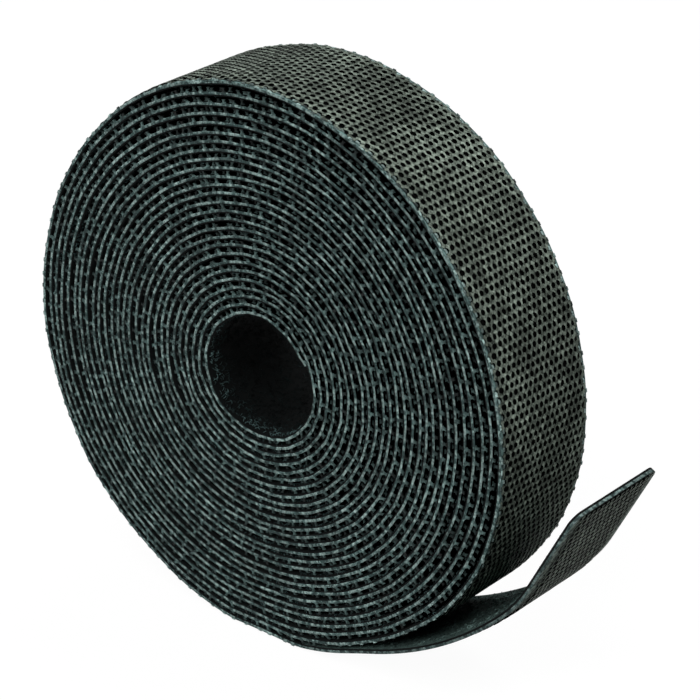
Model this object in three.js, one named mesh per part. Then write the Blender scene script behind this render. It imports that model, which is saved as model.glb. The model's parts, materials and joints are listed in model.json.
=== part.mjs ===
// A roll of hook and loop tape, wound without a core, hook face outwards and loop face inwards.
// It stands on its rim, and the outer end of the tape has sprung off the roll.
// Millimetres, +Z up. The roll's axis lies along Y, and the origin is the middle of the flat it stands on.
import * as THREE from 'three';

// Driving dimensions of the tape
const TAPE_WIDTH = 20;
const HOOK_WEB = 0.5; // moulded film, taken together with the hooks that stand on it
const LOOP_WEB = 0.36; // knitted cloth, taken together with its pressed loops
const BOND_LINE = 0.06; // between the two webs

// Driving dimensions of the winding
const BORE_RADIUS = 10; // loop face of the first turn, at its cut end
const TURN_GAP = 0.48; // from the hooks of one turn to the loops of the next
const STEPS_PER_TURN = 22;
const WOUND_STEPS = 523; // nearly 24 turns, from the cut end in the bore to the peel line
const SWELL_TURNS = 5; // outer turns that have sprung open, the outermost one the most
const SWELL_SHARE = 0.86; // share of a turn, back from the peel line, over which the outermost one is round
const FLAT_DEPTH = 0.5; // how much of the round is lost to the flat that the roll stands on
const STEPS_FLAT_TO_PEEL = 1;
const POINTS_PER_STEP = 6; // where the least gap between turns is measured

// Driving dimensions of the free end, along its hook face from the peel line to the outer cut
const HINGE_GAP = 0.4;
const PEEL_KINK = THREE.MathUtils.degToRad(7.7); // how far it falls away from the roll at the peel line
const PEEL_LENGTH = 30.2;
const PEEL_RADIUS = 62;
const NECK_LENGTH = 8;
const NECK_RADIUS = 26.5;
const END_LENGTH = 15.3;
const CORNER_RADIUS = 2; // at both corners of the outer cut
const PEEL_STEPS = 6;
const NECK_STEPS = 4;
const CORNER_STEPS = 4;

const HOOK_MATERIAL = new THREE.MeshStandardMaterial({ color: 0x2e332f, roughness: 0.5, metalness: 0 });
const LOOP_MATERIAL = new THREE.MeshStandardMaterial({ color: 0x1b1f1d, roughness: 0.95, metalness: 0 });

const WEBS = HOOK_WEB + BOND_LINE + LOOP_WEB;
const PITCH = WEBS + TURN_GAP;
const STEP_ANGLE = (2 * Math.PI) / STEPS_PER_TURN;
const PEEL_ANGLE = -Math.PI / 2 + (STEPS_FLAT_TO_PEEL + 0.5) * STEP_ANGLE;
const FLAT_END = WOUND_STEPS - STEPS_FLAT_TO_PEEL;
const FLAT_START = FLAT_END - 1;
const AXIS_HEIGHT = hookRadius(FLAT_END - 0.5) - FLAT_DEPTH;

// How far a sprung turn lies outside the spiral. It makes up for the spiral's drop, back from the peel line,
// and then falls back onto the turn below.
function swell(step) {
  const back = (WOUND_STEPS - step) / STEPS_PER_TURN;
  const turn = Math.floor(back);
  const share = back - turn;
  const fall = 1 - THREE.MathUtils.smoothstep(share, SWELL_SHARE, 1);
  return PITCH * share * fall * Math.max(0, 1 - turn / SWELL_TURNS);
}

// Radius of the hook face, a spiral that grows by one pitch a turn, with the outer turns sprung open.
function hookRadius(step) {
  return BORE_RADIUS + WEBS + (PITCH * step) / STEPS_PER_TURN + swell(step);
}

// A station is a place along the tape, in the XZ plane: a point of the hook face, the heading of the
// tape there, whether the hook face is pressed flat on what the roll stands on, and how far each edge
// is cut in there.
function woundStation(step) {
  const angle = PEEL_ANGLE + (step - WOUND_STEPS) * STEP_ANGLE;
  const radius = hookRadius(step);
  return {
    face: new THREE.Vector2(radius * Math.cos(angle), AXIS_HEIGHT + radius * Math.sin(angle)),
    heading: angle + Math.PI / 2,
    flat: step === FLAT_START || step === FLAT_END,
    inset: 0,
  };
}

// A straight step of given length and heading, in the XZ plane.
function stepAlong(heading, length) {
  return new THREE.Vector2(Math.cos(heading), Math.sin(heading)).multiplyScalar(length);
}

// The station that a run of given length and bend (1 / radius, towards the loop side) leads to.
function runOn({ face, heading }, length, bend) {
  const turn = length * bend;
  const chord = turn === 0 ? length : (2 / bend) * Math.sin(turn / 2);
  const ahead = stepAlong(heading + turn / 2, chord).add(face);
  return { face: ahead, heading: heading + turn, flat: false, inset: 0 };
}

// The stations of a run of given length and bend, with the one that it starts from.
function run(start, length, bend, steps) {
  return Array.from({ length: steps + 1 }, (_, i) => runOn(start, (length * i) / steps, bend));
}

// The stations of a straight run up to a cut with round corners, from where the corners start.
function runToCut(start, length) {
  return Array.from({ length: CORNER_STEPS + 1 }, (_, i) => {
    const angle = ((Math.PI / 2) * i) / CORNER_STEPS;
    const short = CORNER_RADIUS * (1 - Math.sin(angle));
    return { ...runOn(start, length - short, 0), inset: CORNER_RADIUS * (1 - Math.cos(angle)) };
  });
}

// The point that lies a given depth under the hook face.
function under(station, depth) {
  const point = stepAlong(station.heading + Math.PI / 2, depth).add(station.face);
  if (station.flat && depth === 0) point.y = 0;
  return point;
}

// One ply of the tape along the stations, between two depths, as a closed strip as wide as the tape.
function ply(name, material, stations, outerDepth, innerDepth) {
  const rings = stations.map((station) => {
    const corner = (depth, side) => {
      const point = under(station, depth);
      return [point.x, side * (TAPE_WIDTH / 2 - station.inset), point.y];
    };
    return [corner(outerDepth, -1), corner(innerDepth, -1), corner(innerDepth, 1), corner(outerDepth, 1)];
  });
  const corners = rings[0].length;
  const triangles = [];
  const quad = (a, b, c, d) => triangles.push(a, b, c, a, c, d);
  const cap = (ring) => Array.from({ length: corners }, (_, i) => ring * corners + i);
  for (let base = 0; base < corners * (rings.length - 1); base += corners) {
    for (let side = 0; side < corners; side += 1) {
      const next = (side + 1) % corners;
      quad(base + side, base + corners + side, base + corners + next, base + next);
    }
  }
  quad(...cap(0));
  quad(...cap(rings.length - 1).reverse());
  const geometry = new THREE.BufferGeometry();
  geometry.setAttribute('position', new THREE.Float32BufferAttribute(rings.flat(2), 3));
  geometry.setIndex(triangles);
  geometry.computeVertexNormals();
  const mesh = new THREE.Mesh(geometry, material);
  mesh.name = name;
  return mesh;
}

// Both plies of one stretch of the tape, the hook web outside and the loop web inside.
function tape(stretch, stations) {
  const group = new THREE.Group();
  group.add(ply(`hook_web_${stretch}`, HOOK_MATERIAL, stations, 0, HOOK_WEB));
  group.add(ply(`loop_web_${stretch}`, LOOP_MATERIAL, stations, HOOK_WEB + BOND_LINE, WEBS));
  return group;
}

// Least distance from the hook face of any turn to the loop face of the turn that lies over it,
// measured on points spaced evenly along both faces.
function leastTurnGap(stations) {
  const pointsOn = (depth) => stations.slice(1).flatMap((station, i) => {
    const [from, to] = [under(stations[i], depth), under(station, depth)];
    return Array.from({ length: POINTS_PER_STEP }, (_, k) => from.clone().lerp(to, k / POINTS_PER_STEP));
  });
  const hookFace = pointsOn(0);
  const loopFace = pointsOn(WEBS);
  const turn = STEPS_PER_TURN * POINTS_PER_STEP;
  let least = Infinity;
  for (let i = 0; i + turn + POINTS_PER_STEP < loopFace.length; i += 1) {
    for (let j = i + turn - POINTS_PER_STEP; j <= i + turn + POINTS_PER_STEP; j += 1) {
      least = Math.min(least, hookFace[i].distanceTo(loopFace[j]));
    }
  }
  return least;
}

const wound = Array.from({ length: WOUND_STEPS + 1 }, (_, step) => woundStation(step));
const peelLine = { ...wound[WOUND_STEPS], heading: wound[WOUND_STEPS].heading - PEEL_KINK };
const peeled = run(runOn(peelLine, HINGE_GAP, 0), PEEL_LENGTH, 1 / PEEL_RADIUS, PEEL_STEPS);
const flexLine = peeled[PEEL_STEPS];
const neck = run(runOn(flexLine, HINGE_GAP, 0), NECK_LENGTH, 1 / NECK_RADIUS, NECK_STEPS);
const outerCut = runToCut(neck[NECK_STEPS], END_LENGTH);

console.log(`least gap between turns ${leastTurnGap(wound).toFixed(3)} mm`);

const roll = new THREE.Group();
roll.add(tape('roll', wound));
roll.add(tape('tail', peeled));
roll.add(tape('end', [...neck, ...outerCut]));

export default roll;
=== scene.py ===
"""Dresses a roll of back-to-back hook and loop tape with its film, hooks, cloth and loops.

Every web is first laid out straight, in tape space, and then wound. In tape space the first axis runs along
the tape from the peel line, the second runs across it towards the front edge, and the third stands on the
hook tips and points away from the roll's middle.
"""

import json
import math
from collections import namedtuple

import bpy
import numpy as np
from bpy.props import FloatProperty, FloatVectorProperty, IntProperty, PointerProperty
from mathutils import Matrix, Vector


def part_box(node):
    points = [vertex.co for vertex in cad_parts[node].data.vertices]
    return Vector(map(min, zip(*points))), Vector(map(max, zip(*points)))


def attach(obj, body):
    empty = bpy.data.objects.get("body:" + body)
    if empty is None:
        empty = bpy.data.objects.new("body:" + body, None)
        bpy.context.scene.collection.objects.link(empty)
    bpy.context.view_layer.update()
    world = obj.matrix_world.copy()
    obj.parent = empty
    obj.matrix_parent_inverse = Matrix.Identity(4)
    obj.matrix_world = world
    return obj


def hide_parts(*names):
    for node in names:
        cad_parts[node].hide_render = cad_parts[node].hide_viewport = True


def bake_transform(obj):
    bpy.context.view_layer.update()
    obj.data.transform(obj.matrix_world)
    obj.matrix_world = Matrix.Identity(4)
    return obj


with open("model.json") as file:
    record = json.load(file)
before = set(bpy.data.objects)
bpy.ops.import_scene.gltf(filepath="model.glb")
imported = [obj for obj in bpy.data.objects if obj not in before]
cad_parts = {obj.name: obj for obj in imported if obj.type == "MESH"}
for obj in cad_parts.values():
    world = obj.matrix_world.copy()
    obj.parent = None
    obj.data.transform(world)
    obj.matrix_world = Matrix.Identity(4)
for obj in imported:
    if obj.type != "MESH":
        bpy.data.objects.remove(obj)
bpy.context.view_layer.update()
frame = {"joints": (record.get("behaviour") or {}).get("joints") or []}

bl_info = {
    "name": "Hook and Loop Tape Roll",
    "version": (1, 0, 0),
    "blender": (4, 5, 0),
    "location": "View3D > Sidebar > Tape Roll",
    "description": "Winds a roll of hook and loop tape and sets it on a plain stage",
    "category": "Mesh",
}

MM = 0.001
JOINTS = {joint["name"]: joint for joint in frame["joints"]}
PEEL_HINGE = Vector(JOINTS["peel"]["pos_m"])
FLEX_HINGE = Vector(JOINTS["flex"]["pos_m"])
ROLL_LOW, ROLL_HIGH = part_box("hook_web_roll")
TAPE_WIDTH = (ROLL_HIGH.y - ROLL_LOW.y) / MM
BAKE_MAP = "OFBake"


def length(name, description, millimetres):
    """A length that a user would change."""
    size = millimetres * MM
    return FloatProperty(name=name, description=description, default=size, unit="LENGTH", precision=5)


def degrees(name, description, size):
    """An angle that a user would change."""
    return FloatProperty(name=name, description=description, default=math.radians(size), subtype="ANGLE")


def number(name, description, size):
    """A plain number that a user would change."""
    return FloatProperty(name=name, description=description, default=size)


def colour(name, description, red, green, blue):
    """A colour that a user would change, in linear light."""
    return FloatVectorProperty(
        name=name, description=description, default=(red, green, blue), subtype="COLOR", min=0, max=1
    )


class TapeSizes(bpy.types.PropertyGroup):
    """The tape's own section, from the hook tips inwards, and the spacing of its hooks."""

    width: length("Width", "From the front edge to the back one", TAPE_WIDTH)
    hook_height: length("Hook height", "From the film to the hook tips", 0.32)
    film: length("Film", "Thickness of the moulded film", 0.43)
    cloth: length("Cloth", "Thickness of the knitted ground of the loop web", 0.20)
    pile_height: length("Pile height", "How far the loops stand off the cloth", 0.34)
    hook_pitch: length("Hook pitch", "From hook to hook along one row", 2.39)
    row_pitch: length("Row pitch", "From one row of hooks to the next", 0.57)
    row_pairs: IntProperty(name="Row pairs", description="Rows of hooks, by twos", default=17)


class WindingSizes(bpy.types.PropertyGroup):
    """How the tape lies on the roll."""

    peel_angle: degrees("Peel angle", "Where the tape leaves the roll", -720 / 11)
    turns: number("Turns", "From the cut in the bore to the peel line", 26.75)
    pitch: length("Pitch", "From one turn to the next", 1.282)
    swell_turns: number("Swell turns", "Outer turns that have sprung open", 5)
    swell_share: number("Swell share", "Share of the outermost turn that is round", 0.86)
    bulge: length("Bulge", "How far the outermost turn lies out of round", 0.28)
    unevenness: length("Unevenness", "How far a turn strays from the true spiral", 0.07)
    ovalness: length("Ovalness", "How far the inner turns lie out of round", 0.3)
    end_lift: length("End lift", "How far the cut in the bore springs outwards", 0.5)
    wander: length("Wander", "How far the edges stray sideways", 0.13)
    settling: length("Settling", "Depth of the turns that give way where the roll stands", 12)


class FreeEndSizes(bpy.types.PropertyGroup):
    """The free end along its hook tips, from the peel line to the cut."""

    hinge_gap: length("Hinge gap", "Straight stretch at each of the two hinges", 0.4)
    peel_kink: degrees("Peel kink", "How far it falls away from the roll", 7.7)
    peel_length: length("Peel length", "From the peel line to the neck", 30.2)
    peel_radius: length("Peel radius", "Bend of the first stretch", 62)
    neck_length: length("Neck length", "Length of the sharp bend", 8)
    neck_radius: length("Neck radius", "Bend of the neck", 26.5)
    end_length: length("End length", "From the neck to the cut", 15.3)
    corner: length("Corner", "Radius of the two corners at the cut", 2)


class Finishes(bpy.types.PropertyGroup):
    """Colours of the webs."""

    film_edge: colour("Film edge", "Slit edge of the film", 0.112, 0.182, 0.174)
    # Painted highlight: the lightest blobs on the film's slit edge
    film_highlight: colour("Film smear", "Where the knife has smeared the edge", 0.280, 0.385, 0.366)
    # Painted shade: the darkest blobs on the film's slit edge
    film_shade: colour("Film shade", "Duller patches of the edge", 0.028, 0.055, 0.053)
    # Painted light: the free end's film along its edges, far paler than the film itself
    selvage: colour("Selvage", "Plain film along the edges of the free end", 0.480, 0.580, 0.525)
    # Painted shade: the film between the hooks, darker than the film itself
    ground: colour("Ground", "Film between the hooks", 0.001, 0.001, 0.001)
    # Painted light: the up-facing tops of the hooks, lighter than the same plastic on their sides
    hook_top_lit: colour("Hook tip", "Worn top of a hook", 0.157, 0.190, 0.159)
    # Painted shade: the sides of the hooks, darker than their tops
    hook_side_shade: colour("Hook root", "Sides of a hook", 0.003, 0.0035, 0.003)
    hook_flank: colour("Hook flank", "Hooks along the turns' edges", 0.064, 0.104, 0.099)
    # Partly the cloth's own black, darkened further as painted shade for the bore
    cloth: colour("Cloth", "Knitted ground of the loop web", 0.0015, 0.003, 0.003)
    # Painted light: the free end's cloth, far paler than the roll's, for its face in the roll's shade
    free_end_lit_cloth: colour("Worn cloth", "Knitted ground of the free end", 0.055, 0.092, 0.084)
    # Partly the yarn's own near-black, darkened further as painted shade for the bore
    yarn: colour("Yarn", "Loops of the loop web", 0.0046, 0.0078, 0.0078)
    # Painted light: the free end's loops, far paler than the roll's, for their face in the roll's shade
    free_end_lit_yarn: colour("Worn yarn", "Loops of the free end", 0.080, 0.125, 0.115)


class StageSettings(bpy.types.PropertyGroup):
    """The camera, the lamps and the floor."""

    azimuth: degrees("Azimuth", "Camera's bearing from the front", 39.47)
    elevation: degrees("Elevation", "Camera's angle over the floor", 25.29)
    distance: length("Distance", "From the camera to what it looks at", 413.8)
    aim_side: length("Aim to the side", "From the roll's axis to what the camera looks at", 8.83)
    aim_rise: length("Aim upwards", "From the roll's axis to what the camera looks at", 2.96)
    lens: FloatProperty(name="Lens", description="Focal length", default=146.6, unit="CAMERA")
    floor_size: length("Floor size", "Side of the floor", 6000)
    floor_colour: colour("Floor colour", "Pale floor", 0.07, 0.07, 0.07)


class TapeRoll(bpy.types.PropertyGroup):
    """Everything that a user would change."""

    tape: PointerProperty(type=TapeSizes)
    winding: PointerProperty(type=WindingSizes)
    free_end: PointerProperty(type=FreeEndSizes)
    finish: PointerProperty(type=Finishes)
    stage: PointerProperty(type=StageSettings)


def settings():
    return bpy.context.scene.tape_roll


def smooth(share):
    """Eases a share from nothing to one."""
    return share * share * (3 - 2 * share)


class TapeLine:
    """The line of the hook tips in the XZ plane. Places on it are lengths along the tape from the peel
    line: below zero the tape is wound, and above zero it is free."""

    # Rate and phase of the waves that a turn makes outwards, and of those that it makes sideways
    WOBBLE = ((2.31, 0.4), (5.73, 1.9), (11.37, 4.2), (23.9, 2.7))
    STRAY = ((0.37, 1.1), (1.71, 2.6), (4.13, 0.2), (9.77, 5.0))
    # Count, size and phase of the lobes of the inner turns, and of the outermost one
    LOBES = ((1, 1.0, -2.94), (2, 0.65, 0.26), (3, 0.4, -0.77))
    OUTER_LOBES = ((3, 1.0, 1.54),)
    CALM = 45 * MM  # from the peel line to where the waves are whole
    LIFTED = 5 * MM  # how much of the end in the bore springs out
    KINK_REACH = 3 * MM  # how far to either side the peel line's kink is eased
    LEAST_SLOPE = 0.1

    def __init__(self, sizes):
        winding, free = sizes.winding, sizes.free_end
        self.winding = winding
        self.angle = winding.peel_angle
        self.heading = self.angle + math.pi / 2
        self.kink = free.peel_kink
        self.lead = self.heading - self.kink
        half_gap = free.hinge_gap / 2
        self.radius = (PEEL_HINGE.x - half_gap * math.cos(self.lead)) / math.cos(self.angle)
        self.axis = PEEL_HINGE.z - half_gap * math.sin(self.lead) - self.radius * math.sin(self.angle)
        self.growth = winding.pitch / (2 * math.pi)
        self.runs = (
            (free.hinge_gap, 0),
            (free.peel_length, 1 / free.peel_radius),
            (free.hinge_gap, 0),
            (free.neck_length, 1 / free.neck_radius),
            (free.end_length, 0),
        )
        self.flex = free.hinge_gap * 1.5 + free.peel_length
        self.cut = 2 * free.hinge_gap + free.peel_length + free.neck_length + free.end_length
        self.start = self.length_at(-2 * math.pi * winding.turns)
        self.last_turn = self.length_at(-2 * math.pi)

    def length_at(self, turn, depth=0.0):
        """Length along the tape at an angle from the peel line, at a depth under the hook tips."""
        return (self.radius - depth) * turn + self.growth * turn * turn / 2

    def turn_at(self, along):
        """The angle from the peel line at a length along the tape, the inverse of length_at."""
        reach = np.sqrt(self.radius**2 + 2 * self.growth * np.minimum(along, 0))
        return (reach - self.radius) / self.growth

    def spiral(self, turn):
        """Radius at an angle from the peel line. The outer turns have sprung open, which makes up for the
        spiral's drop, and then fall back onto the turn below."""
        back = -turn / (2 * math.pi)
        share = back % 1
        fall = np.clip((1 - share) / (1 - self.winding.swell_share), 0, 1)
        sprung = np.clip(1 - np.floor(back) / self.winding.swell_turns, 0, 1)
        return self.radius + self.growth * turn + self.winding.pitch * share * sprung * smooth(fall)

    def calm(self, along):
        """Rises from nothing at the peel line to one a little way round the roll."""
        return np.clip(-along / self.CALM, 0, 1)

    def strays(self, along, waves, size):
        """A smooth seeded wave along the wound tape, which dies out towards the peel line."""
        turn = self.turn_at(along)
        return size * self.calm(along) * sum(np.sin(rate * turn + phase) for rate, phase in waves) / 2

    def lobes(self, along):
        """How far the turns lie out of round, and how far the cut in the bore lifts."""
        angle = self.angle + self.turn_at(along)
        under = np.clip((self.last_turn - along) / -self.last_turn, 0, 1)
        outer, inner = (
            sum(size * np.cos(count * (angle - phase)) for count, size, phase in waves)
            for waves in (self.OUTER_LOBES, self.LOBES)
        )
        bulge = self.winding.bulge * (1 - under) * self.calm(along)
        lift = np.clip(1 - (along - self.start) / self.LIFTED, 0, 1) ** 2
        return bulge * outer + self.winding.ovalness * under * inner + self.winding.end_lift * lift

    def at(self, along):
        """Place and heading of the line at each length along the tape."""
        turn = self.turn_at(along)
        radius = self.spiral(turn) + self.lobes(along)
        radius = radius + self.strays(along, self.WOBBLE, self.winding.unevenness)
        heading = self.heading + turn
        x = radius * np.cos(self.angle + turn)
        z = self.axis + radius * np.sin(self.angle + turn)
        from_x = self.radius * math.cos(self.angle)
        from_z = self.axis + self.radius * math.sin(self.angle)
        from_heading, from_length = self.lead, 0.0
        for run, bend in self.runs:
            on = along > from_length
            span = np.clip(along[on] - from_length, 0, run)
            swing = span * bend
            chord = span * np.sinc(swing / 2 / math.pi)
            x[on] = from_x + chord * np.cos(from_heading + swing / 2)
            z[on] = from_z + chord * np.sin(from_heading + swing / 2)
            heading[on] = from_heading + swing
            whole = run * float(np.sinc(run * bend / 2 / math.pi))
            from_x += whole * math.cos(from_heading + run * bend / 2)
            from_z += whole * math.sin(from_heading + run * bend / 2)
            from_heading += run * bend
            from_length += run
        near = np.clip(1 - np.abs(along) / self.KINK_REACH, 0, 1)
        heading = heading + np.where(along > 0, 0.5, -0.5) * self.kink * near
        aside = self.kink * self.KINK_REACH / 4 * near**2
        return x + aside * np.sin(heading), z - aside * np.cos(heading), heading

    def settle(self, x, z, along):
        """Presses the turns in where the roll stands, so that its outermost hooks end on the floor."""
        out, angle = np.hypot(x, z - self.axis), np.arctan2(z - self.axis, x)
        outermost = self.spiral((angle - self.angle) % (2 * math.pi) - 2 * math.pi)
        floor = self.axis / np.maximum(-np.sin(angle), self.LEAST_SLOPE)
        share = np.clip((out - outermost) / self.winding.settling + 1, 0, 1)
        press = np.clip(outermost - floor, 0, None) * smooth(share)
        press[along > 0] = 0
        return x - press * np.cos(angle), np.maximum(z - press * np.sin(angle), 0)

    def stations(self, start, end):
        """Places along a stretch where a strip bends, evenly by angle on the roll and by length off it."""
        if end > 0:
            return np.linspace(start, end, 1 + math.ceil((end - start) / STRIP_STEP))
        turns = self.turn_at(np.array([start, end]))
        return self.length_at(np.linspace(*turns, 1 + math.ceil(np.ptp(turns) / STRIP_ANGLE)))

    def wind(self, points):
        """Points of tape space, wound into the row frame."""
        along, across, height = points.T
        x, z, heading = self.at(along)
        x, z = self.settle(x + height * np.sin(heading), z - height * np.cos(heading), along)
        y = self.strays(along, self.STRAY, self.winding.wander) - across
        return np.stack([x, y, z], 1)


class Stretch(namedtuple("Stretch", "name start end bodies bend_from bend_to", defaults=(None, None))):
    """One stretch of the tape between two lengths, with the bodies that it rides on or bends between."""

    def carry(self, piece, slot):
        """Hands a finished piece to the stretch's body where it has one, and otherwise bakes its place into
        its points.
        """
        if len(self.bodies) == 1:
            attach(piece, self.bodies[0])
        else:
            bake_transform(piece)


LAP = 11 * MM  # wound tape that belongs to the tail's pieces
TAIL_SPLIT = 13 * MM  # from the peel line to where the end's pieces take over
PEEL_BEND = 10 * MM  # how far past the peel hinge the tape goes on bending
FLEX_BEND = 6 * MM  # how far to either side of the flex hinge it bends


def stretches(line):
    """The roll, the tail over the peel hinge, and the end over the flex hinge."""
    flex_heading = float(line.at(np.array([line.flex]))[-1][0])
    lead = Vector((math.cos(line.lead), 0, math.sin(line.lead)))
    bend = Vector((math.cos(flex_heading), 0, math.sin(flex_heading))) * FLEX_BEND
    parts = (
        Stretch("roll", line.start, -LAP, ("roll",)),
        Stretch("tail", -LAP, TAIL_SPLIT, ("roll", "tail"), PEEL_HINGE, PEEL_HINGE + lead * PEEL_BEND),
        Stretch("end", TAIL_SPLIT, line.cut, ("tail", "end"), FLEX_HINGE - bend, FLEX_HINGE + bend),
    )
    return {part.name: part for part in parts}


def values(items, name, width=1, kind=np.float32):
    """One property of many mesh items, as an array."""
    found = np.empty(len(items) * width, kind)
    items.foreach_get(name, found)
    return found.reshape(-1, width) if width > 1 else found


def points_of(mesh):
    return values(mesh.vertices, "co", 3).astype(float)


def set_points(mesh, points):
    mesh.vertices.foreach_set("co", np.ascontiguousarray(points, np.float32).ravel())
    mesh.update()


def paint(mesh, name, numbers):
    """Keeps one number for each vertex as an attribute that a material can read."""
    attribute = mesh.attributes.new(name, "FLOAT", "POINT")
    attribute.data.foreach_set("value", np.ascontiguousarray(numbers, np.float32))


FACES = (False, False, True)
EDGES = (False, True, False)
POINTS = (True, False, False)


def start_piece(name, add, **where):
    """Adds a primitive as a new piece, alone in the selection and in edit mode."""
    bpy.ops.object.select_all(action="DESELECT")
    add(**where)
    piece = bpy.context.object
    piece.name = piece.data.name = name
    bpy.ops.object.transform_apply(location=True, rotation=True, scale=True)
    bpy.context.tool_settings.mesh_select_mode = FACES
    bpy.ops.object.mode_set(mode="EDIT")
    return piece


def pick(piece, kind, wanted):
    """Selects the faces or the edges of a piece that are wanted."""
    bpy.context.tool_settings.mesh_select_mode = kind
    bpy.ops.mesh.select_all(action="DESELECT")
    bpy.ops.object.mode_set(mode="OBJECT")
    for item in piece.data.edges if kind == EDGES else piece.data.polygons:
        item.select = wanted(item)
    bpy.ops.object.mode_set(mode="EDIT")


def extrude(move, grow=(1, 1, 1), about=(0, 0, 0)):
    """Extrudes the picked faces by a move, then grows what they became."""
    bpy.ops.mesh.extrude_region_move(TRANSFORM_OT_translate={"value": move})
    bpy.ops.transform.resize(value=grow, center_override=about)


def repeat(piece, count, step, **options):
    """Repeats a piece at a constant step, with touching ends merged."""
    array = piece.modifiers.new("Repeat", "ARRAY")
    array.count = count
    array.use_relative_offset = False
    array.use_constant_offset = True
    array.constant_offset_displace = step
    for name, value in options.items():
        setattr(array, name, value)
    bpy.ops.object.modifier_apply(modifier=array.name)


def use_materials(piece, *materials, index=None):
    """Gives a piece its materials, and each face the one that an array names."""
    piece.data.materials.clear()
    for material in materials:
        piece.data.materials.append(material)
    if index is not None:
        piece.data.polygons.foreach_set("material_index", np.asarray(index, np.int32))


def past_corners(line, sizes, along, across):
    """How far places in tape space lie past where the corners of the outer cut start, along and across."""
    corner = sizes.free_end.corner
    return along - (line.cut - corner), np.abs(across) - (sizes.tape.width / 2 - corner)


def trim(line, sizes, points):
    """Pulls points of tape space that stick out past the tape's edges, cut or corners back to them."""
    corner = sizes.free_end.corner
    past, aside = past_corners(line, sizes, points[:, 0], points[:, 1])
    reach = np.hypot(np.maximum(past, 0), np.maximum(aside, 0))
    pull = np.minimum(1, corner / np.maximum(reach, corner))
    points[:, 0] -= np.maximum(past, 0) * (1 - pull)
    points[:, 1] -= np.sign(points[:, 1]) * np.maximum(aside, 0) * (1 - pull)
    return points


def finish_piece(piece, line, stretch, slot, smooth_angle):
    """Trims and winds a piece that lies in tape space and hands it to its stretch."""
    set_points(piece.data, line.wind(trim(line, settings(), points_of(piece.data))))
    bpy.ops.object.select_all(action="DESELECT")
    piece.select_set(True)
    bpy.context.view_layer.objects.active = piece
    bpy.ops.object.shade_smooth_by_angle(angle=smooth_angle)
    stretch.carry(piece, slot)
    return piece


def inside_end(line, sizes, along, across, margin):
    """Whether places in tape space lie inside the outer cut and its two round corners, by a margin."""
    past, aside = past_corners(line, sizes, along, across)
    reach = sizes.free_end.corner - margin
    round_off = (past > 0) & (aside > 0) & (np.hypot(past, aside) > reach)
    return (along < line.cut - margin) & ~round_off


def drop_outside(piece, copies, line, sizes, margin):
    """Takes away the copies of a shape that stand beyond the outer cut."""
    middle = points_of(piece.data).reshape(copies, -1, 3).mean(1)
    keep = inside_end(line, sizes, middle[:, 0], middle[:, 1], margin)
    outside = np.repeat(~keep, len(piece.data.vertices) // copies)
    for items in (piece.data.polygons, piece.data.edges):
        items.foreach_set("select", np.zeros(len(items), bool))
    piece.data.vertices.foreach_set("select", outside)
    bpy.context.tool_settings.mesh_select_mode = POINTS
    bpy.ops.object.mode_set(mode="EDIT")
    bpy.ops.mesh.delete(type="VERT")
    bpy.ops.object.mode_set(mode="OBJECT")


CORNER_CUTS = (11, 34, 56, 79)  # which ways the cuts that round a corner face, in degrees
CUT_TOLERANCE = 0.001 * MM


def round_corners(piece, line, sizes, narrowing):
    """Cuts the two corners of a strip's outer end round in tape space."""
    bpy.ops.object.mode_set(mode="EDIT")
    corner = sizes.free_end.corner
    for side in (-1, 1):
        centre = Vector((line.cut - corner, side * (sizes.tape.width / 2 - corner - narrowing), 0))
        for angle in map(math.radians, CORNER_CUTS):
            facing = Vector((math.sin(angle), side * math.cos(angle), 0))
            bpy.ops.mesh.select_all(action="SELECT")
            plane = {"plane_co": centre + facing * corner, "plane_no": facing, "threshold": CUT_TOLERANCE}
            bpy.ops.mesh.bisect(**plane, use_fill=True, clear_outer=True)
    bpy.ops.object.mode_set(mode="OBJECT")


STRIP_STEP = 1.0 * MM  # between two places where the free end can bend
STRIP_ANGLE = math.radians(2.6)  # between two such places on the roll
EDGE_SEGMENTS = 2


def strip(name, width, top, bottom, rounding, stations):
    """A straight closed strip of one web in tape space, with rounded long edges, that bends at stations."""
    count = len(stations) - 1
    step = STRIP_STEP
    piece = start_piece(
        name,
        bpy.ops.mesh.primitive_cube_add,
        size=1,
        location=(step / 2, 0, (top + bottom) / 2),
        scale=(step, width, top - bottom),
    )

    def runs_along(edge):
        one, other = (piece.data.vertices[i].co.x for i in edge.vertices)
        return abs(one - other) > step / 2

    pick(piece, EDGES, runs_along)
    bpy.ops.mesh.bevel(offset=rounding, segments=EDGE_SEGMENTS, affect="EDGES")
    pick(piece, FACES, lambda face: abs(face.normal.x) > 0.5)
    bpy.ops.mesh.delete(type="FACE")
    bpy.ops.object.mode_set(mode="OBJECT")
    repeat(piece, count, (step, 0, 0), use_merge_vertices=True, merge_threshold=step / 100)
    points = points_of(piece.data)
    points[:, 0] = np.interp(points[:, 0] / step, np.arange(count + 1), stations)
    set_points(piece.data, points)
    bpy.ops.object.mode_set(mode="EDIT")
    bpy.ops.mesh.select_all(action="SELECT")
    bpy.ops.mesh.fill_holes(sides=0)
    bpy.ops.mesh.normals_make_consistent(inside=False)
    bpy.ops.object.mode_set(mode="OBJECT")
    return piece


FACING = 0.9  # a face that turns this far to one side of a strip belongs to that side
MAP_ROW = 280 * MM
MAP_MARGIN = 0.004
MAP_BANDS = np.array(((0.01, 0.28), (0.31, 0.28), (0.61, 0.18), (0.81, 0.18)))  # start and height of each


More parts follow.
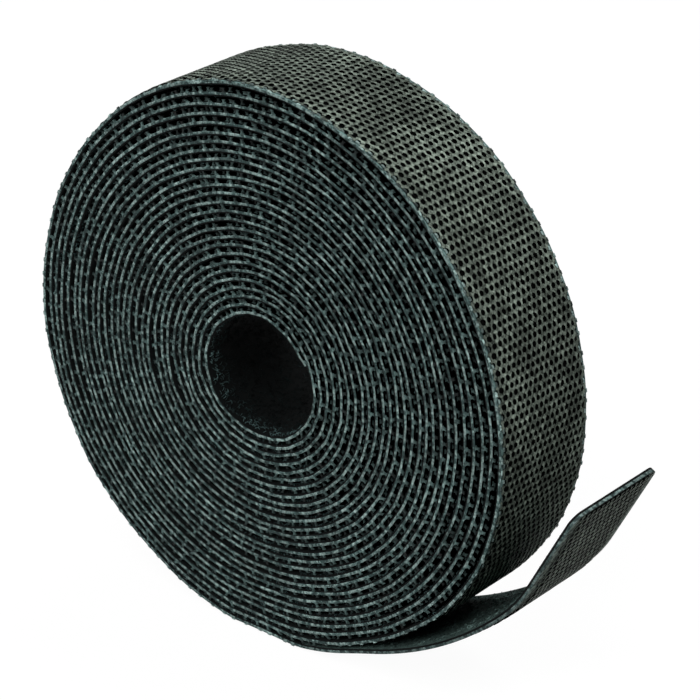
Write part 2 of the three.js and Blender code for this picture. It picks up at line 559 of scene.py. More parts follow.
def map_strip(piece):
    """Gives a straight strip a map with one row for each turn or so, and in it a band for each of the
    front, the back, the top and the bottom."""
    mesh = piece.data
    points = points_of(mesh)
    low, high = points.min(0), points.max(0)
    rows = max(1, math.ceil((high[0] - low[0]) / MAP_ROW))
    count = values(mesh.polygons, "loop_total", kind=np.int32)
    centre = np.repeat(values(mesh.polygons, "center", 3), count, 0)
    normal = np.repeat(values(mesh.polygons, "normal", 3), count, 0)
    corner = points[values(mesh.loops, "vertex_index", kind=np.int32)]
    share = (corner - low) / (high - low)
    row = np.clip((centre[:, 0] - low[0]) // MAP_ROW, 0, rows - 1)
    u = (corner[:, 0] - low[0] - row * MAP_ROW) / min(MAP_ROW, high[0] - low[0])
    flat = np.abs(normal[:, 2]) > FACING
    band = np.where(flat, 2 + (normal[:, 2] <= 0), normal[:, 1] <= 0)
    start, height = MAP_BANDS[band].T
    v = start + height * np.where(flat, share[:, 1], share[:, 2])
    place_map(mesh, np.stack([MAP_MARGIN + (1 - 2 * MAP_MARGIN) * u, (row + v) / rows], 1))


def web(name, line, sizes, stretch, narrowing, top, bottom, rounding):
    """One web along a stretch, narrower than the tape by a little, with its round corners and its map."""
    width = sizes.tape.width - narrowing
    piece = strip(name, width, top, bottom, rounding, line.stations(stretch.start, stretch.end))
    if stretch.name == "end":
        round_corners(piece, line, sizes, narrowing / 2)
    map_strip(piece)
    return piece


def place_map(mesh, places):
    layer = mesh.uv_layers.get(BAKE_MAP) or mesh.uv_layers.new(name=BAKE_MAP)
    layer.data.foreach_set("uv", np.ascontiguousarray(places, np.float32).ravel())


UNWRAP_ANGLE = math.radians(66)
UNWRAP_MARGIN = 0.02


def unwrap_one(piece):
    """Gives a small shape a map of its own before it is copied."""
    piece.data.uv_layers.new(name=BAKE_MAP)
    bpy.ops.mesh.select_all(action="SELECT")
    bpy.ops.uv.smart_project(angle_limit=UNWRAP_ANGLE, island_margin=UNWRAP_MARGIN)
    bpy.ops.object.mode_set(mode="OBJECT")


def shift_map(mesh, copies, share=0.9):
    """Moves each copy's part of the map to a square of its own."""
    grid = math.ceil(math.sqrt(copies))
    per_copy = len(mesh.loops) // copies
    index = np.repeat(np.arange(copies), per_copy)
    places = values(mesh.uv_layers[BAKE_MAP].data, "uv", 2)
    cell = np.stack([index % grid, index // grid], 1)
    place_map(mesh, (cell + (1 - share) / 2 + share * places) / grid)


# One hook: its stem and head, and then each joint of an arm, from the head outwards
STEM = (0.30 * MM, 0.24 * MM)
HEAD_WIDTH = 0.33 * MM
HEAD_DEPTH = 0.14 * MM
HEAD_FLARE = 0.3  # share of the head's depth in which it widens
ARM_REACH = (0.09 * MM, 0.12 * MM, 0.12 * MM, 0.32 * MM)
ARM_WIDTH = (0.41 * MM, 0.74 * MM, 0.88 * MM, 0.14 * MM)
ARM_DROOP = (0.005 * MM, 0.02 * MM, 0.03 * MM, 0.05 * MM)
ROOT = 0.03 * MM  # how deep a hook stands in the film
PRESSED_SPREAD = 0.93
PRESSED_DROOP = 0.2
SPREAD_TO_REACH = 0.3  # power by which a head's spread makes its arms longer


def stem_shape(name, root, tip, section):
    """A square stem between two heights, with its upper face picked."""
    where = {"location": (0, 0, (root + tip) / 2), "scale": (*section, tip - root)}
    piece = start_piece(name, bpy.ops.mesh.primitive_cube_add, size=1, **where)
    pick(piece, FACES, lambda face: face.normal.z > 0.5)
    return piece


def close_shape(piece):
    """Turns a small shape's faces outwards and gives it its map."""
    bpy.ops.mesh.select_all(action="SELECT")
    bpy.ops.mesh.normals_make_consistent(inside=False)
    unwrap_one(piece)
    return piece


def hook_shape(height, spread=1.0, droop=1.0):
    """One double hook with its tip at the height of zero. Its head is narrow over the stem and has an arm
    to either side that broadens and then runs out to a point, so that the heads of staggered rows meet
    round holes. The spread scales the head's width, and the droop how far its arms hang."""
    neck = -HEAD_DEPTH
    piece = stem_shape("hook", -height - ROOT, neck, STEM)
    extrude((0, 0, HEAD_DEPTH * HEAD_FLARE), (1, HEAD_WIDTH * spread / STEM[1], 1), (0, 0, neck))
    extrude((0, 0, HEAD_DEPTH * (1 - HEAD_FLARE)))
    longer = spread**SPREAD_TO_REACH
    for side in (-1, 1):
        outside, wide = STEM[0] / 2, HEAD_WIDTH * spread

        def arm_root(face):
            outwards = face.normal.x * side > 0.5 and face.center.x * side > 0
            return outwards and face.center.z > neck * (1 - HEAD_FLARE)

        pick(piece, FACES, arm_root)
        for reach, width, fall in zip(ARM_REACH, ARM_WIDTH, ARM_DROOP):
            outside += reach * longer
            move = (side * reach * longer, 0, -fall * droop)
            extrude(move, (1, width * spread / wide, 1), (side * outside, 0, 0))
            wide = width * spread
    return close_shape(piece)


# A hook along a turn's edge: its foot, and then how each step up adds to its rise and scales its length
TICK = (0.74 * MM, 0.26 * MM)
TICK_RISE = (0.22, 0.39, 0.39)
TICK_GROWTH = (0.5, 0.8, 2.0)


def tick_shape(height, rise):
    """One hook as it shows along a turn's edge: a waisted stem with a given rise over the film."""
    piece = stem_shape("tick", -height - ROOT, -height, TICK)
    for share, growth in zip(TICK_RISE, TICK_GROWTH):
        extrude((0, 0, rise * share), (growth, 1, 1))
    return close_shape(piece)


Rows = namedtuple("Rows", "front pitch pairs start end")
Growth = namedtuple("Growth", "scatter lean stunt worn worn_band second_row", defaults=(0, 1 * MM, 1))
MOST_WORN = 0.85  # share of its height that a hook can lose


def hook_field(piece, seed, rows, sizes, growth):
    """Sets copies of a hook in staggered rows on a straight stretch of tape, each placed, leaning and
    stunted its own way, and worn down along the edges. Returns how many there are."""
    tape = sizes.tape
    per_hook = len(piece.data.vertices)
    columns = round((rows.end - rows.start) / tape.hook_pitch)
    pitch = (rows.end - rows.start) / columns
    repeat(piece, 2, (pitch / 2, -rows.pitch, 0))
    repeat(piece, columns, (pitch, 0, 0))
    if rows.pairs > 1:
        repeat(piece, rows.pairs, (0, -2 * rows.pitch, 0))
    points = points_of(piece.data) + (rows.start + pitch / 4, rows.front, 0)
    hooks = len(points) // per_hook
    chance = np.random.default_rng(seed)
    rise = np.clip(points[:, 2] / tape.hook_height + 1, 0, None)
    tint = chance.random(hooks)
    # The second row's tint is scaled down as painted shade, for it stands deeper
    tint[1::2] *= growth.second_row
    points[:, 0] += np.repeat(chance.normal(0, growth.scatter, hooks), per_hook)
    points[:, :2] += np.repeat(chance.normal(0, growth.lean, (hooks, 2)), per_hook, 0) * rise[:, None]
    across = np.abs(points[:, 1]).reshape(hooks, per_hook).mean(1)
    worn = growth.worn * np.clip((across - tape.width / 2) / growth.worn_band + 1, 0, 1)
    loss = np.minimum(chance.uniform(0, growth.stunt, hooks) + worn, MOST_WORN)
    points[:, 2] -= np.repeat(loss, per_hook) * rise * tape.hook_height
    set_points(piece.data, points)
    paint(piece.data, "rise", rise)
    paint(piece.data, "tint", np.repeat(tint, per_hook))
    shift_map(piece.data, hooks)
    return hooks


Yarn = namedtuple("Yarn", "radius steps")
LOOP_SPAN = 0.46 * MM
LOOP_LEAN = (0.55, 0.3)
LOOP_WIDENING = (0.7, 1.5)
YARN_SIDES = 3
FUZZ_DEPTH = 4 * MM  # how far from the tape's edges the loops are paler


def loop_shape(yarn):
    """One loop of yarn: an arch that stands on the cloth."""
    piece = start_piece(
        "loop",
        bpy.ops.mesh.primitive_circle_add,
        vertices=YARN_SIDES,
        radius=yarn.radius,
        fill_type="NGON",
        location=(LOOP_SPAN / 2, 0, 0),
    )
    bpy.ops.mesh.select_all(action="SELECT")
    bpy.ops.mesh.spin(steps=yarn.steps, angle=-math.pi, center=(0, 0, 0), axis=(0, 1, 0))
    bpy.ops.mesh.select_all(action="SELECT")
    bpy.ops.mesh.remove_doubles(threshold=yarn.radius / 100)
    return close_shape(piece)


def loop_field(name, yarn, places, heights, seed, half_width):
    """Copies of one loop at places on the cloth, each turned, leaning and stretched its own way. They are
    painted with how near the tape's edge they stand."""
    piece = loop_shape(yarn)
    piece.name = piece.data.name = name
    base = points_of(piece.data)
    per_loop, loops = len(base), len(places)
    chance = np.random.default_rng(seed)
    repeat(piece, loops, (0, 0, 0))
    turn = chance.uniform(0, 2 * math.pi, loops)
    lean = chance.normal(0, LOOP_LEAN, (loops, 2))
    widen = chance.uniform(*LOOP_WIDENING, loops)
    scale = heights / np.abs(base[:, 2]).max()
    along = base[None, :, 0] * widen[:, None]
    depth = np.abs(base[None, :, 2]) * scale[:, None]
    x = along * np.cos(turn)[:, None] - base[None, :, 1] * np.sin(turn)[:, None] + depth * lean[:, :1]
    y = along * np.sin(turn)[:, None] + base[None, :, 1] * np.cos(turn)[:, None] + depth * lean[:, 1:]
    points = np.stack([x + places[:, :1], y + places[:, 1:2], places[:, 2:] - depth], 2)
    set_points(piece.data, points.reshape(-1, 3))
    paint(piece.data, "tint", np.repeat(chance.random(loops), per_loop))
    edge = np.clip(1 - (half_width - np.abs(places[:, 1])) / FUZZ_DEPTH, 0, 1) ** 2
    paint(piece.data, "edge", np.repeat(edge, per_loop))
    shift_map(piece.data, loops)
    return piece


class Finish:
    """A principled material whose nodes are added one at a time."""

    def __init__(self, name):
        self.material = bpy.data.materials.new(name)
        self.material.use_nodes = True
        self.tree = self.material.node_tree
        self.shader = self.tree.nodes["Principled BSDF"]

    def add(self, kind, inputs=None, **options):
        node = self.tree.nodes.new(kind)
        for name, value in options.items():
            setattr(node, name, value)
        for name, value in (inputs or {}).items():
            self.put(node.inputs[name], value)
        return node

    def put(self, socket, value):
        if isinstance(value, bpy.types.NodeSocket):
            self.tree.links.new(value, socket)
        else:
            socket.default_value = value

    def attribute(self, name):
        return self.add("ShaderNodeAttribute", attribute_name=name).outputs["Fac"]

    def noise(self, scale):
        where = self.add("ShaderNodeTexCoord").outputs["Object"]
        inputs = {"Vector": where, "Scale": scale, "Detail": 2.0}
        return self.add("ShaderNodeTexNoise", inputs).outputs["Fac"]

    def ramp(self, factor, *stops):
        """A colour that runs through stops, each a place and a tone."""
        node = self.add("ShaderNodeValToRGB", {"Fac": factor})
        elements = node.color_ramp.elements
        while len(elements) < len(stops):
            elements.new(0.5)
        for element, (place, tone) in zip(elements, stops):
            element.position = place
            element.color = (*tone, 1)
        return node.outputs["Color"]

    def span(self, factor, low, high, start=0.0, end=1.0):
        """A level that goes from low to high while a factor goes from start to end."""
        limits = {"Value": factor, "From Min": start, "From Max": end, "To Min": low, "To Max": high}
        return self.add("ShaderNodeMapRange", limits).outputs["Result"]

    def dim(self, tone, factor, *limits):
        """Scales a tone by the level that a factor has within limits."""
        node = self.add("ShaderNodeVectorMath", {0: tone}, operation="SCALE")
        self.put(node.inputs["Scale"], self.span(factor, *limits))
        return node.outputs["Vector"]

    def bump(self, height, strength, depth):
        inputs = {"Height": height, "Strength": strength, "Distance": depth}
        self.put(self.shader.inputs["Normal"], self.add("ShaderNodeBump", inputs).outputs["Normal"])

    def set(self, **sockets):
        for name, value in sockets.items():
            self.put(self.shader.inputs[name.replace("_", " ")], value)
        return self.material


# How fine the mottle of each surface is, from its patches to its grain
FILM_PATCHES, FILM_BLOBS, FILM_GRAIN = 190.0, 1350.0, 3200.0
SELVAGE_BLOBS = 1100.0
CROWN_PATCHES, CROWN_GRAIN = 110.0, 2100.0
FLANK_GRAIN = 2400.0
STITCHES = 1900.0
PILE_PATCHES = 420.0


def moulded_film(name, finish, level):
    """Slit and rolled film: mottled, with blobs of painted highlight and painted shade."""
    look = Finish(name)
    patches, blobs, grain = map(look.noise, (FILM_PATCHES, FILM_BLOBS, FILM_GRAIN))
    shade, edge, painted_highlight = map(tuple, (finish.film_shade, finish.film_edge, finish.film_highlight))
    # Blobs of painted shade and painted highlight around the edge's own tone
    tone = look.ramp(blobs, (0.42, shade), (0.50, edge), (0.60, painted_highlight))
    tone = look.dim(tone, patches, 0.7 * level, 1.3 * level, 0.35, 0.65)
    tone = look.dim(tone, grain, 0.5, 1.5, 0.35, 0.65)
    look.bump(grain, strength=0.4, depth=0.04 * MM)
    return look.set(Base_Color=tone, Roughness=0.6, Specular_IOR_Level=0.25)


def painted_shade_film(name, tone):
    """Plain film painted dark as shade, as between the hooks and on their sides."""
    return Finish(name).set(Base_Color=(*tone, 1), Roughness=0.7, Specular_IOR_Level=0.0)


def film_selvage(name, finish, paler, aside_from, aside_to):
    """The film's floor where it shows, which turns paler from one distance off its middle to another: from
    the painted shade between the hooks to the film's edge tone on the roll, and to a painted light on the
    free end.
    """
    look = Finish(name)
    where = look.add("ShaderNodeTexCoord").outputs["Object"]
    across = look.add("ShaderNodeSeparateXYZ", {"Vector": where}).outputs["Y"]
    aside = look.add("ShaderNodeMath", {0: across}, operation="ABSOLUTE").outputs[0]
    selvage = look.span(aside, 0.0, 1.0, aside_from, aside_to)
    tone = look.ramp(selvage, (0.0, tuple(finish.ground)), (1.0, tuple(paler)))
    tone = look.dim(tone, look.noise(SELVAGE_BLOBS), 0.4, 1.6, 0.4, 0.6)
    return look.set(Base_Color=tone, Roughness=0.7, Specular_IOR_Level=0.05)


def lit_hook_crown(name, finish, level):
    """The tops of the hooks, painted light where they face up, each a little lighter or darker than the
    next.
    """
    look = Finish(name)
    tone = look.dim(tuple(finish.hook_top_lit), look.attribute("tint"), 0.6 * level, 1.4 * level)
    tone = look.dim(tone, look.noise(CROWN_PATCHES), 0.75, 1.25, 0.35, 0.65)
    tone = look.dim(tone, look.noise(CROWN_GRAIN), 0.4, 1.6, 0.36, 0.64)
    return look.set(Base_Color=tone, Roughness=0.45, Specular_IOR_Level=0.01)


def hook_flank(name, flank):
    """Hooks that show along the turns' edges, some torn and dull, paler at the foot than at the tip; their
    tint also carries painted shade on the deeper row.
    """
    look = Finish(name)
    tone = look.dim(tuple(flank), look.attribute("rise"), 1.3, 0.6, 0.0, 2.0)
    tone = look.dim(tone, look.attribute("tint"), 0.05, 1.5)
    tone = look.dim(tone, look.noise(FLANK_GRAIN), 0.5, 1.5, 0.38, 0.62)
    return look.set(Base_Color=tone, Roughness=0.6, Specular_IOR_Level=0.2)


def knitted_cloth(name, cloth):
    """The knitted ground that carries the loops."""
    look = Finish(name)
    stitches = look.noise(STITCHES)
    tone = look.dim(tuple(cloth), stitches, 0.4, 1.1, 0.3, 0.7)
    look.bump(stitches, strength=0.6, depth=0.06 * MM)
    return look.set(Base_Color=tone, Roughness=0.9, Specular_IOR_Level=0.2)


def loop_yarn(name, yarn, fuzz):
    """Fine yarn, each loop a little lighter or darker than the next, and paler along the tape's edges."""
    look = Finish(name)
    tone = look.dim(tuple(yarn), look.attribute("tint"), 0.25, 1.6)
    tone = look.dim(tone, look.attribute("edge"), 1.0, fuzz)
    tone = look.dim(tone, look.noise(PILE_PATCHES), 0.3, 1.7, 0.40, 0.62)
    return look.set(Base_Color=tone, Roughness=0.8, Specular_IOR_Level=0.1)


# Angles up to which neighbouring faces are shaded smooth
SMOOTH_FILM, SMOOTH_CLOTH, SMOOTH_HOOK, SMOOTH_YARN = map(math.radians, (40, 60, 35, 80))


class TAPE_OT_hook_film(bpy.types.Operator):
    """Wind the moulded film that carries the hooks"""

    bl_idname = "tape_roll.hook_film"
    bl_label = "Hook film"

    ROUNDING = 0.06 * MM
    DULLER = 0.65  # level of the film's edge on the free end
    # From how far off the edge the selvage turns paler, and to how far
    SELVAGE = (0.5 * MM, 0.25 * MM)
    PULLED_SELVAGE = (3 * MM, 1 * MM)

    def execute(self, context):
        sizes = settings()
        line, tape, finish = TapeLine(sizes), sizes.tape, sizes.finish
        top = -tape.hook_height
        # The film's floor between the hooks carries painted shade
        floor = painted_shade_film("film_ground_shade", finish.ground)

        def looks(name, level, paler, selvage):
            edge = moulded_film(f"{name}_film", finish, level)
            aside = (tape.width / 2 - inset for inset in selvage)
            return edge, floor, film_selvage(f"{name}_selvage", finish, paler, *aside)

        wound = looks("slit", 1.0, finish.film_edge, self.SELVAGE)
        # On the free end the band along the edges is painted light
        pulled = looks("pulled", self.DULLER, finish.selvage, self.PULLED_SELVAGE)
        for stretch in stretches(line).values():
            name = f"hook_film_{stretch.name}"
            piece = web(name, line, sizes, stretch, 0, top, top - tape.film, self.ROUNDING)
            upper = values(piece.data.polygons, "normal", 3)[:, 2] > FACING
            shown = values(piece.data.polygons, "center", 3)[:, 0] > line.last_turn
            materials = wound if stretch.name == "roll" else pulled
            use_materials(piece, *materials, index=upper * (1 + shown))
            finish_piece(piece, line, stretch, "hook_film", SMOOTH_FILM)
            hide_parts(f"hook_web_{stretch.name}")
        return {"FINISHED"}


class TAPE_OT_loop_cloth(bpy.types.Operator):
    """Wind the knitted cloth that carries the loops"""

    bl_idname = "tape_roll.loop_cloth"
    bl_label = "Loop cloth"

    ROUNDING = 0.04 * MM
    NARROWING = 0.1 * MM  # how much narrower than the film it is
    BOND = 0.005 * MM  # between the film and the cloth
    LOFT = 0.12 * MM  # how much thicker it is where no turn presses on it

    def execute(self, context):
        sizes = settings()
        line, tape = TapeLine(sizes), sizes.tape
        cloth = knitted_cloth("knitted_cloth", sizes.finish.cloth)
        worn = knitted_cloth("free_end_lit_cloth", sizes.finish.free_end_lit_cloth)
        top = -tape.hook_height - tape.film - self.BOND
        middle = -top + tape.cloth / 2
        for stretch in stretches(line).values():
            thick = tape.cloth if stretch.name == "roll" else tape.cloth + self.LOFT
            name = f"loop_cloth_{stretch.name}"
            piece = web(name, line, sizes, stretch, self.NARROWING, top, top - thick, self.ROUNDING)
            under = values(piece.data.polygons, "normal", 3)[:, 2] < -FACING
            # The free end's loop face takes the painted light of its cloth
            use_materials(piece, cloth, worn, index=under & (stretch.name != "roll"))
            finish_piece(piece, line, stretch, "loop_cloth", SMOOTH_CLOTH)
            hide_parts(f"loop_web_{stretch.name}")
            wound = line.turn_at(np.array([stretch.start, min(stretch.end, 0)]))
            flat = float(np.diff(line.length_at(wound, middle))[0])
            flat = flat + max(stretch.end, 0) - max(stretch.start, 0)
        return {"FINISHED"}


class TAPE_OT_hooks(bpy.types.Operator):
    """Set the hooks on the outermost turn and on the free end"""

    bl_idname = "tape_roll.hooks"
    bl_label = "Hooks"

    OVERLAP = 6 * MM  # how far the hooks reach in under the outermost turn
    END_MARGIN = 0.3 * MM  # between the hooks and the outer cut
    # Faces that turn up take the painted light of the tops, and the rest the painted shade of the sides
    CROWN_FACING = 0.75  # a face that turns up this far belongs to the crown
    GROWTH = Growth(0.02 * MM, lean=(0.035 * MM, 0.03 * MM), stunt=0.1, worn=1.0, worn_band=1.6 * MM)
    # The free end has fewer rows, and its hooks are paler and more worn
    PULLED_GROWTH = GROWTH._replace(worn=1.3, worn_band=2.6 * MM)
    FEWER_PAIRS = 1
    PALER = 1.75

    def execute(self, context):
        sizes = settings()
        line, tape, finish = TapeLine(sizes), sizes.tape, sizes.finish
        # The hooks' sides carry painted shade
        shank_shade = painted_shade_film("hook_shank_shade", finish.hook_side_shade)
        wound = lit_hook_crown("lit_hook_crown", finish, 1.0), self.GROWTH, tape.row_pairs, ()
        pulled = (
            lit_hook_crown("pressed_lit_crown", finish, self.PALER),
            self.PULLED_GROWTH,
            tape.row_pairs - self.FEWER_PAIRS,
            (PRESSED_SPREAD, PRESSED_DROOP),
        )
        parts = stretches(line)
        first = line.last_turn - self.OVERLAP
        half = (first - LAP) / 2
        fields = (
            ("hooks_roll_back", parts["roll"], first, half),
            ("hooks_roll_front", parts["roll"], half, -LAP),
            ("hooks_tail", parts["tail"], -LAP, TAIL_SPLIT),
            ("hooks_end", parts["end"], TAIL_SPLIT, line.cut),
        )
        for seed, (name, stretch, start, end) in enumerate(fields):
            crown, growth, pairs, pressed = wound if stretch.name == "roll" else pulled
            piece = hook_shape(tape.hook_height, *pressed)
            piece.name = piece.data.name = name
            rows = Rows((pairs - 0.5) * tape.row_pitch, tape.row_pitch, pairs, start, end)
            hooks = hook_field(piece, seed, rows, sizes, growth)
            if stretch.name == "end":
                drop_outside(piece, hooks, line, sizes, self.END_MARGIN)
            upper = values(piece.data.polygons, "normal", 3)[:, 2] > self.CROWN_FACING
            use_materials(piece, shank_shade, crown, index=upper)
            finish_piece(piece, line, stretch, "hook_film", SMOOTH_HOOK)
        return {"FINISHED"}


class TAPE_OT_edge_hooks(bpy.types.Operator):
    """Set the rows of hooks that show along the edges of the wound turns"""

    bl_idname = "tape_roll.edge_hooks"
    bl_label = "Edge hooks"

    FIRST_SEED = 10
    INSET = 0.14 * MM  # from the tape's edge to the first row
    ROW_PITCH = 0.42 * MM
    RISE = 0.72 * MM  # of the hooks between two turns
    BEAD_RISE = 0.18 * MM  # of the worn ones along the rim
    # The deeper second row is painted darker as shade
    GROWTH = Growth(0.22 * MM, lean=(0.08 * MM, 0.02 * MM), stunt=0.5, second_row=0.6)

    def execute(self, context):
        sizes = settings()
        line, tape, finish = TapeLine(sizes), sizes.tape, sizes.finish
        roll = stretches(line)["roll"]
        outermost = line.last_turn - TAPE_OT_hooks.OVERLAP
        edge = tape.width / 2 - self.INSET
        flank = hook_flank("hook_flank", finish.hook_flank)
        # The worn hooks along the rim take the tone of the film's painted highlights
        bead = hook_flank("hook_bead", finish.film_highlight)
        kinds = (
            ("hooks", flank, self.RISE, line.start, outermost),
            ("beads", bead, self.BEAD_RISE, outermost, -LAP),
        )
        for count, (kind, look, rise, start, end) in enumerate(kinds):
            for side, front in (("front", edge), ("back", self.ROW_PITCH - edge)):
                piece = tick_shape(tape.hook_height, rise)
                piece.name = piece.data.name = f"edge_{kind}_{side}"
                seed = self.FIRST_SEED + 2 * count + (front < 0)
                hook_field(piece, seed, Rows(front, self.ROW_PITCH, 1, start, end), sizes, self.GROWTH)
                use_materials(piece, look)
                finish_piece(piece, line, roll, "hook_film", SMOOTH_HOOK)
        return {"FINISHED"}


class TAPE_OT_loops(bpy.types.Operator):
    """Raise the loops that show in the bore, on the free end and along the edges of the wound turns"""

    bl_idname = "tape_roll.loops"
    bl_label = "Loops"

    FINE_YARN = Yarn(0.036 * MM, 6)
    FUZZ_YARN = Yarn(0.055 * MM, 4)
    FOOT = 0.02 * MM  # how deep a loop stands in the cloth
    BORE_TURNS = 1.03  # how many turns show in the bore
    # The paleness along the edges is partly real fuzz and partly painted light where the bore's painted
    # shade gives way
    BORE_FUZZ, EDGE_FUZZ = 24.0, 6.2  # how much paler the loops are along the edges
    # The loops on the open faces: where they stand, and least and greatest share of the pile's height
    SPOT_SEED = 50
    PER_SQUARE_MM = 3.0
    SIDE_MARGIN = 0.45 * MM
    END_MARGIN = 0.5 * MM
    PILE = (0.6, 1.15)
    # The loops along the edges, which stand in tufts
    EDGE_SPOT_SEED, EDGE_SEED = 60, 70
    EDGE_SPACING = 0.6 * MM
    EDGE_BAND = (0.25 * MM, 0.9 * MM)
    EDGE_PILE = (0.5, 1.0)
    TUFT = 14
    TUFT_SPREAD = 2.2 * MM

    def execute(self, context):
        sizes = settings()
        line, tape, finish = TapeLine(sizes), sizes.tape, sizes.finish
        bore_yarn = loop_yarn("bore_yarn", finish.yarn, self.BORE_FUZZ)
        # The free end's loops carry painted light
        free_end_lit_yarn = loop_yarn("free_end_lit_yarn", finish.free_end_lit_yarn, 1.0)
        fuzz_yarn = loop_yarn("fuzz_yarn", finish.yarn, self.EDGE_FUZZ)
        parts = stretches(line)
        bore_end = float(line.length_at(-2 * math.pi * (sizes.winding.turns - self.BORE_TURNS)))
        foot = -tape.hook_height - tape.film - tape.cloth + self.FOOT
        half = tape.width / 2 - self.SIDE_MARGIN

        def raise_loops(name, stretch, yarn, spots, heights, seed, look):
            places = np.column_stack([spots, np.full(len(spots), foot)])
            piece = loop_field(name, yarn, places, tape.pile_height * heights, seed, half)
            use_materials(piece, look)
            finish_piece(piece, line, stretch, "loop_cloth", SMOOTH_YARN)

        fields = (
            ("loop_pile_bore", parts["roll"], line.start, bore_end, bore_yarn),
            ("loop_pile_tail", parts["tail"], 0.0, TAIL_SPLIT, free_end_lit_yarn),
            ("loop_pile_end", parts["end"], TAIL_SPLIT, line.cut, free_end_lit_yarn),
        )
        for seed, (name, stretch, start, end, look) in enumerate(fields):
            chance = np.random.default_rng(self.SPOT_SEED + seed)
            count = round((end - start) * tape.width / MM**2 * self.PER_SQUARE_MM)
            spots = chance.uniform((start, -half), (end, half), (count, 2))
            spots = spots[inside_end(line, sizes, spots[:, 0], spots[:, 1], self.END_MARGIN)]
            heights = chance.uniform(*self.PILE, len(spots))
            raise_loops(name, stretch, self.FINE_YARN, spots, heights, seed, look)
        for side, sign in (("front", 1), ("back", -1)):
            chance = np.random.default_rng(self.EDGE_SPOT_SEED + sign)
            tufts = round((-LAP - bore_end) / self.EDGE_SPACING / self.TUFT)
            along = np.repeat(chance.uniform(bore_end, -LAP, tufts), self.TUFT)
            count = len(along)
            along = np.clip(along + chance.normal(0, self.TUFT_SPREAD, count), bore_end, -LAP)
            across = sign * (tape.width / 2 - chance.uniform(*self.EDGE_BAND, count))
            spots = np.column_stack([along, across])
            heights = chance.uniform(*self.EDGE_PILE, count)
            name, seed = f"edge_loops_{side}", self.EDGE_SEED + sign
            raise_loops(name, parts["roll"], self.FUZZ_YARN, spots, heights, seed, fuzz_yarn)
        return {"FINISHED"}


def soft_lamp(name, at, aim, size, watts):
    """A square lamp that faces what it lights."""
    lamp = bpy.data.lights.new(name, "AREA")
    lamp.size, lamp.energy = size, watts
    holder = bpy.data.objects.new(name, lamp)
    bpy.context.scene.collection.objects.link(holder)
    holder.location = at
    holder.rotation_euler = (Vector(aim) - Vector(at)).to_track_quat("-Z", "Y").to_euler()


FLOOR_LIFT = 0.96


def floor_paint(tone):
    """A pale floor that the camera and mirrors see as white, with the object's shadow on it."""
    look = Finish("pale_floor")
    path = look.add("ShaderNodeLightPath").outputs

    def reckon(operation, one, other):
        return look.add("ShaderNodeMath", {0: one, 1: other}, operation=operation).outputs[0]

    seen = reckon("MAXIMUM", path["Is Camera Ray"], path["Is Glossy Ray"])
    seen = reckon("MAXIMUM", seen, path["Is Transmission Ray"])
    return look.set(
        Base_Color=(*tone, 1),
        Roughness=1.0,
        Specular_IOR_Level=0.0,
        Emission_Color=(1, 1, 1, 1),
        Emission_Strength=reckon("MULTIPLY", seen, FLOOR_LIFT),
    )


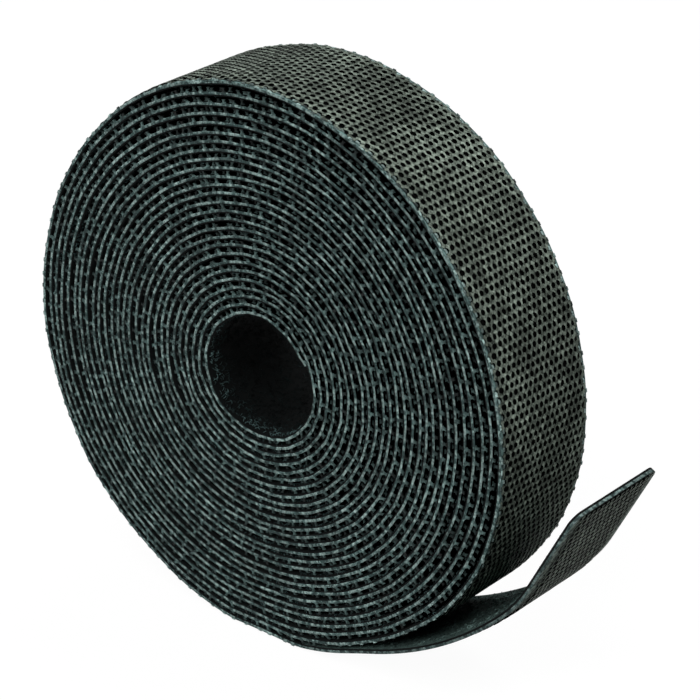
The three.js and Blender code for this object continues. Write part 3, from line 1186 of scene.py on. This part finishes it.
class TAPE_OT_stage(bpy.types.Operator):
    """Set the floor, the lamps, the world and the camera"""

    bl_idname = "tape_roll.stage"
    bl_label = "Stage"

    # Each lamp's place, size in metres and power in watts
    LAMPS = {
        "key_lamp": ((0.20, -0.55, 0.75), 0.5, 5.2),
        "side_lamp": ((0.50, 0.35, 0.85), 0.3, 2.4),
        "low_lamp": ((0.80, 0.45, 0.36), 0.25, 0.5),
        "back_lamp": ((-0.16, 0.60, 0.85), 0.5, 1.6),
        "rim_lamp": ((-0.62, 0.66, 0.32), 0.4, 0.7),
        "fill_lamp": ((-0.5, -0.8, 0.35), 0.6, 2.3),
    }
    WORLD_LIGHT = 0.05
    SENSOR = 36
    CLIP = (0.01, 20)

    def execute(self, context):
        scene, sizes = context.scene, settings()
        stage, line = sizes.stage, TapeLine(sizes)
        aim = Vector((stage.aim_side, 0, line.axis + stage.aim_rise))
        bpy.ops.object.select_all(action="DESELECT")
        bpy.ops.mesh.primitive_plane_add(size=stage.floor_size)
        floor = context.object
        floor.name = "floor"
        use_materials(floor, floor_paint(stage.floor_colour))
        for name, (at, size, watts) in self.LAMPS.items():
            soft_lamp(name, at, aim, size, watts)
        world = bpy.data.worlds.new("studio")
        world.use_nodes = True
        background = world.node_tree.nodes["Background"].inputs
        background["Color"].default_value = (1, 1, 1, 1)
        background["Strength"].default_value = self.WORLD_LIGHT
        scene.world = world
        scene.view_settings.view_transform = "Standard"
        camera = bpy.data.objects.new("camera", bpy.data.cameras.new("camera"))
        scene.collection.objects.link(camera)
        camera.data.lens = stage.lens
        camera.data.sensor_width = self.SENSOR
        camera.data.clip_start, camera.data.clip_end = self.CLIP
        side, level = stage.azimuth, math.cos(stage.elevation)
        back = Vector((math.sin(side) * level, -math.cos(side) * level, math.sin(stage.elevation)))
        camera.location = aim + back * stage.distance
        camera.rotation_euler = back.to_track_quat("Z", "Y").to_euler()
        scene.camera = camera
        return {"FINISHED"}


STEPS = (
    TAPE_OT_hook_film,
    TAPE_OT_loop_cloth,
    TAPE_OT_hooks,
    TAPE_OT_edge_hooks,
    TAPE_OT_loops,
    TAPE_OT_stage,
)


class TAPE_PT_panel(bpy.types.Panel):
    """Lists the steps that build the roll"""

    bl_label = "Tape Roll"
    bl_space_type = "VIEW_3D"
    bl_region_type = "UI"
    bl_category = "Tape Roll"

    def draw(self, context):
        for step in STEPS:
            self.layout.operator(step.bl_idname)


GROUPS = (TapeSizes, WindingSizes, FreeEndSizes, Finishes, StageSettings, TapeRoll)
CLASSES = (*GROUPS, *STEPS, TAPE_PT_panel)


def register():
    for cls in CLASSES:
        bpy.utils.register_class(cls)
    bpy.types.Scene.tape_roll = PointerProperty(type=TapeRoll)


def unregister():
    del bpy.types.Scene.tape_roll
    for cls in reversed(CLASSES):
        bpy.utils.unregister_class(cls)


def main():
    register()
    for step in STEPS:
        group, name = step.bl_idname.split(".")
        getattr(getattr(bpy.ops, group), name)()


if __name__ == "__main__":
    main()
